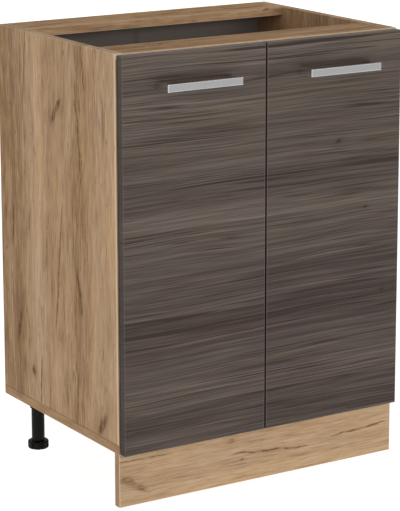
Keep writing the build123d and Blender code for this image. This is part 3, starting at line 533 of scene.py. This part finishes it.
def dark_grain(name, seed, lift, figure=1.0, shine=0.17, pins=(), rear=None):
    """Satin grey-brown decor: fine streaks and thin dark lines that run on from door to door.

    Pins are small knots. The arrises get a painted highlight. The last few millimetres before rear, where
    it is given, are painted darker as shade in the gap beside the carcass.
    """
    material, g, shader = new_material(name, **{"Specular IOR Level": shine})
    at = g.place()
    x, z = at["X"], at["Z"]
    layer = g.math("MULTIPLY_ADD", at["Y"], DOOR_CHANGE, seed)
    sway = g.grain(x, z, layer, 1.5, 3.0)
    ripple = g.grain(x, z, layer, 4.0, 17.0)
    slope = g.math("MULTIPLY_ADD", x, DOOR_SLOPE, z)
    flow = g.sum(slope, g.spread(sway, DOOR_SWAY), g.spread(ripple, DOOR_RIPPLE))
    band = g.grain(x, flow, layer, 1.0, 62.0)
    streak = g.grain(x, flow, layer, 2.2, 210.0, detail=3.0, roughness=0.6)
    fine = g.grain(x, flow, layer, 9.0, 560.0, detail=3.0)
    height = g.math("DIVIDE", z, cad_high[2])
    level = g.ramp(height, [(place, grey(tone)) for place, tone in DOOR_LEVELS])
    swings = ((band, 0.27), (streak, 0.48), (fine, 0.46))
    tone = g.sum(level, *(g.spread(part, amount * figure) for part, amount in swings))
    color = g.ramp(tone, [(place, scaled(tint, lift)) for place, tint in DOOR_TONES])
    hue = g.grain(x, flow, layer, 5.5, 24.0, shift=6.0, detail=3.0)
    warm = g.math("MULTIPLY_ADD", level, 0.40, g.minus(hue, 0.22))
    color = g.tint(g.remap(warm, 0.50, 0.70, 0.0, 0.7), color, (1.03, 1.045, 0.90))
    color = g.tint(g.remap(hue, 0.48, 0.30, 0.0, 0.5), color, (1.05, 0.94, 0.96))
    line_color = scaled(DOOR_LINE, lift)
    for along, over, width, start in DOOR_LINE_SETS:
        ridge = g.grain(x, flow, layer, along, over, shift=over, detail=1.0)
        line = g.remap(g.apart(ridge, MID_TONE), 0.004, width, 1.0, 0.0)
        where = g.grain(x, flow, layer, 3.4, 30.0, shift=over + 3.0, detail=1.0)
        shown = g.times(line, g.remap(where, start, start + 0.24, 0.0, 0.95 * figure))
        color = g.mix(shown, color, line_color)
    for pin in pins:
        spot = g.call(knot_group, x, z, *pin)["Mask"]
        color = g.mix(g.math("MULTIPLY", spot, 1.5, clamp=True), color, line_color)
    # Painted highlight along the door's arrises
    color = g.mix(g.times(g.edge(DOOR_HIGHLIGHT_REACH), DOOR_HIGHLIGHT_SHARE), color, DOOR_HIGHLIGHT)
    # Painted shade: the edge darker towards the rear face, for the gap beside the carcass
    if rear is not None:
        gap_shade = g.remap(at["Y"], rear - GAP_SHADE_START, rear - GAP_SHADE_FULL, 0.0, GAP_SHADE_SHARE)
        color = g.mix(gap_shade, color, DOOR_GAP_SHADE)
    roughness = g.remap(streak, DARK_TONE, LIGHT_TONE, *DOOR_ROUGHNESS)
    finish_shader(g, shader, color, roughness, g.bump(g.sum(streak, fine), *DOOR_BUMP))
    return material


def satin_metal(name, base, polished_and_highlight, roughness):
    """Metal with a brushed front, fine lines along X, brighter polished sides, and a painted highlight
    along the arrises.
    """
    material, g, shader = new_material(name, **{"Metallic": 1.0, "Anisotropic": 0.4})
    at = g.place()
    brush = g.speckle(at, (18.0, 2600.0, 2600.0))
    cloud = g.speckle(at, grey(35.0))
    tone = g.sum(MID_TONE, g.spread(brush, 0.3), g.spread(cloud, 0.15))
    side = g.minus(1.0, g.faces(g.facing()["Y"]))
    color = g.shades(tone, base, 0.90, 1.08)
    # Polished sides, and a painted highlight on the brushed front's arrises
    color = g.mix(g.highest(side, g.times(g.edge(0.0028), 0.9)), color, polished_and_highlight)
    brushed = g.remap(brush, DARK_TONE, LIGHT_TONE, roughness - 0.05, roughness + 0.07)
    finish_shader(g, shader, color, g.pick(side, brushed, 0.20), g.bump(brush, 0.08, 0.0001))
    return material


def plated_steel(name, base, roughness):
    """Stamped and plated steel: a slight mottle and rolling marks."""
    material, g, shader = new_material(name, Metallic=1.0)
    at = g.place()
    mottle = g.speckle(at, grey(240.0), detail=3.0)
    rolled = g.speckle(at, (900.0, 900.0, 60.0))
    tone = g.sum(MID_TONE, g.spread(mottle, 0.25), g.spread(rolled, 0.2))
    color = g.shades(tone, base, 0.82, 1.06)
    wear_and_painted_light = g.remap(mottle, DARK_TONE, LIGHT_TONE, roughness - 0.05, roughness + 0.10)
    finish_shader(g, shader, color, wear_and_painted_light, g.bump(rolled, 0.05, 0.0001))
    return material


def moulded_plastic(name, base, roughness, grain, specular):
    """Moulded plastic with a fine spark-eroded grain, of so many cycles a metre."""
    material, g, shader = new_material(name, **{"Specular IOR Level": specular})
    at = g.place()
    leather = g.speckle(at, grey(grain), detail=3.0)
    cloud = g.speckle(at, grey(40.0))
    tone = g.sum(MID_TONE, g.spread(leather, 0.2), g.spread(cloud, 0.3))
    color = g.shades(tone, base, 0.75, 1.25)
    dull = g.remap(leather, 0.25, 0.75, roughness - 0.06, roughness + 0.08)
    finish_shader(g, shader, color, dull, g.bump(leather, 0.15, 0.0002))
    return material


def lacquered_board(name, base):
    """Thin lacquered fibreboard: even, with a faint orange-peel."""
    material, g, shader = new_material(name, **{"Specular IOR Level": 0.25})
    at = g.place()
    peel = g.speckle(at, grey(500.0))
    cloud = g.speckle(at, grey(9.0))
    tone = g.sum(MID_TONE, g.spread(peel, 0.14), g.spread(cloud, 0.10))
    color = g.shades(tone, base, 0.86, 1.12)
    roughness = g.remap(peel, DARK_TONE, LIGHT_TONE, 0.40, 0.52)
    finish_shader(g, shader, color, roughness, g.bump(peel, 0.08, 0.0002))
    return material


def beech(name):
    """Raw turned beech with short rays."""
    material, g, shader = new_material(name, **{"Roughness": 0.7, "Specular IOR Level": 0.2})
    ray = g.speckle(g.place(), (300.0, 900.0, 300.0), detail=3.0)
    color = g.ramp(ray, ((0.25, (0.42, 0.27, 0.15)), (0.75, (0.62, 0.44, 0.27))))
    g.feed(shader.inputs["Base Color"], color)
    return material


def paint(material, *names):
    """Give CAD pieces a material."""
    for name in names:
        piece = nodes[name]
        piece.data.materials.clear()
        piece.data.materials.append(material)


# The decor of each side panel. Knots: along, across, length, breadth, tilt. Cracks: from along, across,
# to along, across, width, wave. Bands: across, breadth, change of tone.
SIDE_DECORS = {
    "left": dict(
        seed=3.7,
        shade=(1.13, 1.16, 1.25),
        knots=(
            (0.700, 0.016, 0.016, 0.009, -0.5),
            (0.678, 0.033, 0.015, 0.009, -0.5),
            (0.175, 0.124, 0.014, 0.009, 0.2),
            (0.140, -0.136, 0.026, 0.012, -0.6),
            (0.254, 0.177, 0.040, 0.009, -0.2),
        ),
        cracks=(
            (0.823, -0.070, 0.740, -0.083, 0.0070, 0.005),
            (0.760, -0.046, 0.565, -0.068, 0.0085, 0.009),
            (0.525, 0.004, 0.260, 0.036, 0.0065, 0.005),
            (0.415, -0.048, 0.320, -0.066, 0.0130, 0.008),
            (0.215, 0.092, 0.095, 0.099, 0.0075, 0.002),
            (0.225, -0.048, 0.100, -0.043, 0.0060, 0.002),
            (0.490, 0.192, 0.400, 0.199, 0.0100, 0.006),
            (0.830, 0.136, 0.690, 0.150, 0.0050, 0.002),
        ),
        bands=(
            (-0.060, 0.026, -0.16),
            (0.205, 0.055, -0.26),
            (-0.180, 0.030, 0.10),
            (0.105, 0.020, 0.08),
        ),
    ),
    "right": dict(
        seed=11.3,
        # Painted light: a lighter shade than the left panel, making up for the shade on the inner face
        shade=(1.36, 1.36, 1.44),
        knots=(
            (0.560, 0.080, 0.026, 0.012, 0.4),
            (0.330, -0.110, 0.018, 0.009, -0.3),
            (0.205, 0.165, 0.014, 0.008, 0.1),
        ),
        cracks=(
            (0.825, 0.030, 0.640, 0.022, 0.0070, 0.006),
            (0.480, -0.040, 0.270, -0.052, 0.0075, 0.007),
            (0.420, 0.150, 0.300, 0.144, 0.0090, 0.005),
            (0.240, -0.150, 0.100, -0.142, 0.0065, 0.003),
        ),
        bands=(
            (0.060, 0.030, -0.14),
            (-0.160, 0.040, -0.12),
            (0.190, 0.030, 0.08),
        ),
    ),
}
# Where the painted arris highlights, the painted highlight along the front edge and the painted light on
# the top begin and are full, behind the front edge and below the top of the side panels, and how strong
# the front highlight and the top light are; half the blend at the middle of their thickness
SIDE_HIGHLIGHT_START, SIDE_HIGHLIGHT_FULL = 0.0097, 0.0067
FRONT_HIGHLIGHT_START, FRONT_HIGHLIGHT_FULL, FRONT_HIGHLIGHT = 0.0065, 0.0039, 0.70
TOP_PAINTED_LIGHT_START, TOP_PAINTED_LIGHT_FULL = 0.0017, 0.0003
TOP_PAINTED_LIGHT = {"left": 0.26, "right": 0.02}
MIDDLE_BLEND = 0.001


def paint_sides():
    """Side panels: painted highlights on the arrises of the inner half and towards the front, a painted
    highlight along the front edge, and painted light on the top.
    """
    for side, sign in (("left", -1), ("right", 1)):
        decor = oak(
            f"oak_side_{side}",
            "Z",
            "Y",
            seams=(("Z", side_foot),),
            highlight_rims=(
                ("X", sign * (side_middle + MIDDLE_BLEND), sign * (side_middle - MIDDLE_BLEND)),
                ("Y", side_front + SIDE_HIGHLIGHT_START, side_front + SIDE_HIGHLIGHT_FULL),
            ),
            wear_and_painted_light=(
                ("Y", side_front + FRONT_HIGHLIGHT_START, side_front + FRONT_HIGHLIGHT_FULL, FRONT_HIGHLIGHT),
                ("Z", side_top - TOP_PAINTED_LIGHT_START, side_top - TOP_PAINTED_LIGHT_FULL, TOP_PAINTED_LIGHT[side]),
            ),
            capped=False,
            **SIDE_DECORS[side],
        )
        paint(decor, f"side_panel_{side}")


# Shades of the lying boards; where the painted highlight on the front rail's edge band begins and is full,
# above the rail's foot, and its strength; and the painted light on each rail, the rear one lighter for how
# the front light falls
BOARD_SHADE = grey(1.10)
RAIL_TINT = (1.0, 0.97, 0.96)
RAIL_HIGHLIGHT_START, RAIL_HIGHLIGHT_FULL, RAIL_HIGHLIGHT = 0.004, 0.009, 0.75
RAIL_PAINTED_LIGHT = {"front": 1.04, "rear": 1.23}


def paint_boards():
    """Boards that lie across the cabinet, and the carcass edge bands, with a painted highlight on the
    front rail's top.
    """
    paint(oak("oak_bottom", "X", "Y", 6.3, shade=BOARD_SHADE, arris_highlight=False), "bottom_panel")
    # Painted light: each rail is lightened by its own factor, the rear rail more, for how the light falls
    # on them
    for place, lift in RAIL_PAINTED_LIGHT.items():
        shade = scaled(RAIL_TINT, grey(lift))
        rail = oak(f"oak_rail_{place}", "X", "Y", 5.1, shade=shade, narrow_face_painted_light=1.10, figure=1.7)
        paint(rail, f"top_rail_{place}")
    paint(oak("oak_shelf", "X", "Y", 5.1, shade=BOARD_SHADE, narrow_face_painted_light=1.14, figure=1.5), "shelf")
    edging = oak(
        "oak_edging",
        "Z",
        "X",
        2.2,
        shade=BOARD_SHADE,
        figure=0.5,
        arris_highlight=False,
        wear_and_painted_light=(("Z", rail_foot + RAIL_HIGHLIGHT_START, rail_foot + RAIL_HIGHLIGHT_FULL, RAIL_HIGHLIGHT),),
        turn=side_inside,
        foot=side_foot,
    )
    paint(edging, "carcass_edging")


def paint_plinth():
    """The plinth: calm straight grain with a double knot at its left end."""
    decor = oak(
        "oak_plinth",
        "X",
        "Z",
        8.9,
        shade=(0.99, 1.03, 1.09),
        figure=0.45,
        wander=0.008,
        knots=(
            (-0.281, 0.047, 0.022, 0.010, -0.45),
            (-0.257, 0.031, 0.020, 0.008, -0.45),
            (-0.063, 0.083, 0.009, 0.006, 0.0),
            (-0.039, 0.044, 0.005, 0.003, 0.0),
        ),
        knot_depth=0.75,
        cracks=(
            (-0.310, 0.086, -0.190, 0.084, 0.0040, 0.003),
            (-0.060, 0.058, 0.110, 0.043, 0.0065, 0.006),
            (0.160, 0.052, 0.290, 0.060, 0.0060, 0.005),
        ),
        bands=((0.078, 0.012, -0.05), (0.012, 0.014, 0.06)),
    )
    paint(decor, "plinth")


# Pin knots on the doors: along, up, length, breadth, tilt; and how light each door and its edge band are
DOOR_PINS = (
    (0.159, 0.624, 0.0060, 0.0030, 0.3),
    (0.221, 0.494, 0.0055, 0.0022, 0.0),
    (0.262, 0.329, 0.0045, 0.0030, 0.0),
    (-0.205, 0.318, 0.0050, 0.0025, 0.1),
)
DOOR_SEED = 4.4
DOOR_LIFTS = {"left": 1.02, "right": 0.94}
DOOR_EDGE_TINT = (0.72, 0.63, 0.65)


def paint_doors():
    """Doors in one running decor, their darker edge bands, bumpers and handles."""
    handle = satin_metal("handle_metal", (0.326, 0.326, 0.328), (0.98, 0.96, 0.94), 0.36)
    for side, lift in DOOR_LIFTS.items():
        paint(dark_grain(f"door_decor_{side}", DOOR_SEED, grey(lift), pins=DOOR_PINS), f"door_{side}")
        tint = scaled(DOOR_EDGE_TINT, grey(lift))
        band = dark_grain(f"door_edging_{side}", DOOR_SEED, tint, figure=0.4, shine=0.08, rear=door_rear)
        paint(band, f"door_edging_{side}")
        bumper = moulded_plastic(f"clear_bumper_{side}", (0.62, 0.63, 0.62), 0.25, 200.0, specular=0.5)
        paint(bumper, f"door_bumpers_{side}")
        paint(handle, f"handle_{side}")


def paint_back():
    """The lacquered back panels and the strip over their joint."""
    paint(lacquered_board("back_board", (0.268, 0.238, 0.216)), "back_panel_left", "back_panel_right")
    paint(lacquered_board("joint_strip", (0.235, 0.208, 0.190)), "back_joint_strip")


def paint_fittings():
    """Hinges, screws, pins, cams, dowels, and the black plastic of legs and plinth clips."""
    nickel = plated_steel("hinge_nickel", (0.66, 0.645, 0.61), 0.24)
    zinc = plated_steel("zinc_plate", grey(0.56), 0.34)
    yellow_zinc = plated_steel("yellow_zinc", (0.60, 0.50, 0.30), 0.32)
    bright = plated_steel("bright_pin", grey(0.70), 0.18)
    for side in ("left", "right"):
        for piece in ("arms", "plates", "cups", "inner_links", "outer_links"):
            paint(nickel, f"hinge_{piece}_{side}")
        paint(bright, f"hinge_arm_pins_{side}", f"hinge_cup_pins_{side}")
        paint(zinc, f"handle_screws_{side}", f"hinge_cup_screws_{side}")
    paint(zinc, "hinge_plate_screws", "hinge_adjusting_screws", "back_nails", "cam_bolts", "cam_locks")
    paint(yellow_zinc, "leg_screws", "plinth_clip_screws")
    paint(bright, "shelf_pins")
    paint(beech("beech"), "dowels")
    black = moulded_plastic("black_plastic", (0.0042, 0.0040, 0.0038), 0.46, 900.0, specular=0.12)
    paint(black, "plinth_clips")
    for corner in ("front_left", "front_right", "rear_left", "rear_right"):
        paint(black, f"leg_socket_{corner}", f"leg_tube_{corner}", f"leg_foot_{corner}")


def make_floor():
    """A wide pale table top, lit from inside like a light table, as low as the feet screw out."""
    joints = frame["record"]["behaviour"]["joints"]
    reach = max(joint["range_m"][1] for joint in joints if joint["type"] == "slide")
    height = cad_low[2] - reach - FLOOR_GAP
    bpy.ops.mesh.primitive_plane_add(size=FLOOR_SIZE, location=(0.0, 0.0, height))
    floor = bpy.context.object
    floor.name = "floor"
    material, g, shader = new_material("floor", **{"Roughness": 0.9, "Specular IOR Level": 0.0})
    haze = g.speckle(g.place(), (0.8, 0.8))
    g.feed(shader.inputs["Base Color"], g.ramp(haze, ((0.3, grey(0.50)), (0.7, grey(0.52)))))
    shader.inputs["Emission Color"].default_value = (*grey(1.0), 1.0)
    shader.inputs["Emission Strength"].default_value = FLOOR_GLOW
    floor.data.materials.append(material)


def make_world():
    """Even studio surroundings."""
    world = bpy.data.worlds.new("studio")
    bpy.context.scene.world = world
    world.use_nodes = True
    background = world.node_tree.nodes["Background"]
    background.inputs["Color"].default_value = STUDIO_COLOR
    background.inputs["Strength"].default_value = STUDIO_STRENGTH


def make_softbox(name, place, target, width, height, power):
    """A large soft light aimed at a point."""
    light = bpy.data.lights.new(name, "AREA")
    light.shape = "RECTANGLE"
    light.size = width
    light.size_y = height
    light.energy = power
    holder = bpy.data.objects.new(name, light)
    holder.location = place
    holder.rotation_mode = "QUATERNION"
    holder.rotation_quaternion = (Vector(target) - Vector(place)).to_track_quat("-Z", "Y")
    holder.visible_glossy = False
    bpy.context.scene.collection.objects.link(holder)


def make_camera():
    """The photograph's viewpoint: from the left, a little above the cabinet."""
    data = bpy.data.cameras.new("camera")
    data.sensor_width = SENSOR_WIDTH_MM
    data.lens = FOCAL_PIXELS * SENSOR_WIDTH_MM / IMAGE_HEIGHT
    data.shift_y = (PRINCIPAL_ROW - IMAGE_HEIGHT / 2) / IMAGE_HEIGHT
    camera = bpy.data.objects.new("camera", data)
    camera.location = CAMERA_PLACE
    camera.rotation_euler = Euler(CAMERA_TURN)
    bpy.context.scene.collection.objects.link(camera)
    bpy.context.scene.camera = camera


paint_sides()
paint_boards()
paint_plinth()
paint_doors()
paint_back()
paint_fittings()
make_floor()
make_world()
make_softbox("front_softbox", **FRONT_SOFTBOX)
make_camera()
bpy.context.scene.view_settings.view_transform = "Standard"
